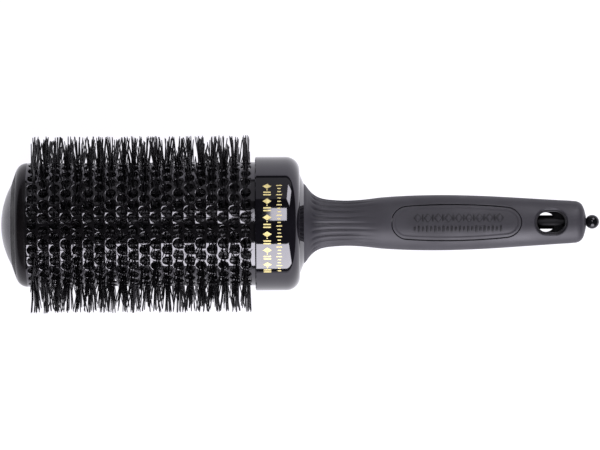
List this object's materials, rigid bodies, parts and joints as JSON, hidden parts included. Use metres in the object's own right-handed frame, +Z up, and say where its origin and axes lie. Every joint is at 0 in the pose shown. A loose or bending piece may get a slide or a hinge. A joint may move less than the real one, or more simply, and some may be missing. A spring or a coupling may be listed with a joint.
{
  "type": "round barrel brush",
  "caption": "Round thermal hair brush with a perforated barrel, bristle tufts, a glossy collar and a soft oval handle that stores a slide-out sectioning pick.",
  "frame": {"origin": "on the brush's axis, inside the collar's cylindrical band", "axes": "+X along the axis towards the tail of the handle, +Y across the handle's wide faces, +Z up, out of the handle's front panel"},
  "size_m": [0.269, 0.0798, 0.0798],
  "materials": {
    "ceramic_coating": "gloss",
    "carrier_plastic": "satin",
    "bristle_nylon": "satin",
    "cap_gloss": "gloss",
    "dome_gloss": "satin",
    "collar_gloss": "gloss",
    "core_plastic": "satin",
    "soft_grip": "matte",
    "soft_panel": "matte",
    "tube_gloss": "gloss",
    "needle_steel": "gloss",
    "ball_gloss": "gloss",
    "stop_plastic": "satin",
    "ring_rubber": "matte",
    "zinc_steel": "satin"
  },
  "bodies": {
    "brush": {"barrel_sleeve": "ceramic_coating", "bristle_carrier": "carrier_plastic", "end_cap": "cap_gloss", "dome_cover": "dome_gloss", "hub_collar": "collar_gloss", "carrier_hub": "carrier_plastic", "tang_washer": "zinc_steel", "tang_screw": "zinc_steel", "handle_core": "core_plastic", "grip_shell": "soft_grip", "grip_panel_front": "soft_panel", "grip_panel_back": "soft_panel", "pick_tube": "tube_gloss", "bristle_strip_01": "bristle_nylon", "bristle_strip_02": "bristle_nylon", "bristle_strip_03": "bristle_nylon", "bristle_strip_04": "bristle_nylon", "bristle_strip_05": "bristle_nylon", "bristle_strip_06": "bristle_nylon", "bristle_strip_07": "bristle_nylon", "bristle_strip_08": "bristle_nylon", "bristle_strip_09": "bristle_nylon", "bristle_strip_10": "bristle_nylon", "bristle_strip_11": "bristle_nylon", "bristle_strip_12": "bristle_nylon", "bristle_strip_13": "bristle_nylon", "bristle_strip_14": "bristle_nylon", "bristle_strip_15": "bristle_nylon", "bristle_strip_16": "bristle_nylon", "bristle_strip_17": "bristle_nylon", "bristle_strip_18": "bristle_nylon", "bristle_strip_19": "bristle_nylon", "bristle_strip_20": "bristle_nylon", "bristle_strip_21": "bristle_nylon", "bristle_strip_22": "bristle_nylon", "bristle_strip_23": "bristle_nylon", "bristle_strip_24": "bristle_nylon", "bristle_strip_25": "bristle_nylon", "bristle_strip_26": "bristle_nylon", "bristle_strip_27": "bristle_nylon", "bristle_strip_28": "bristle_nylon", "bristle_strip_29": "bristle_nylon", "bristle_strip_30": "bristle_nylon"},
    "pick": {"pick_needle": "needle_steel", "pick_friction_ring": "ring_rubber", "pick_stop": "stop_plastic", "pick_ball": "ball_gloss"}
  },
  "joints": [
    {"name": "pick_slide", "type": "slide", "parent": "brush", "child": "pick", "axis": [1, 0, 0], "range_m": [0, 0.04]}
  ]
}
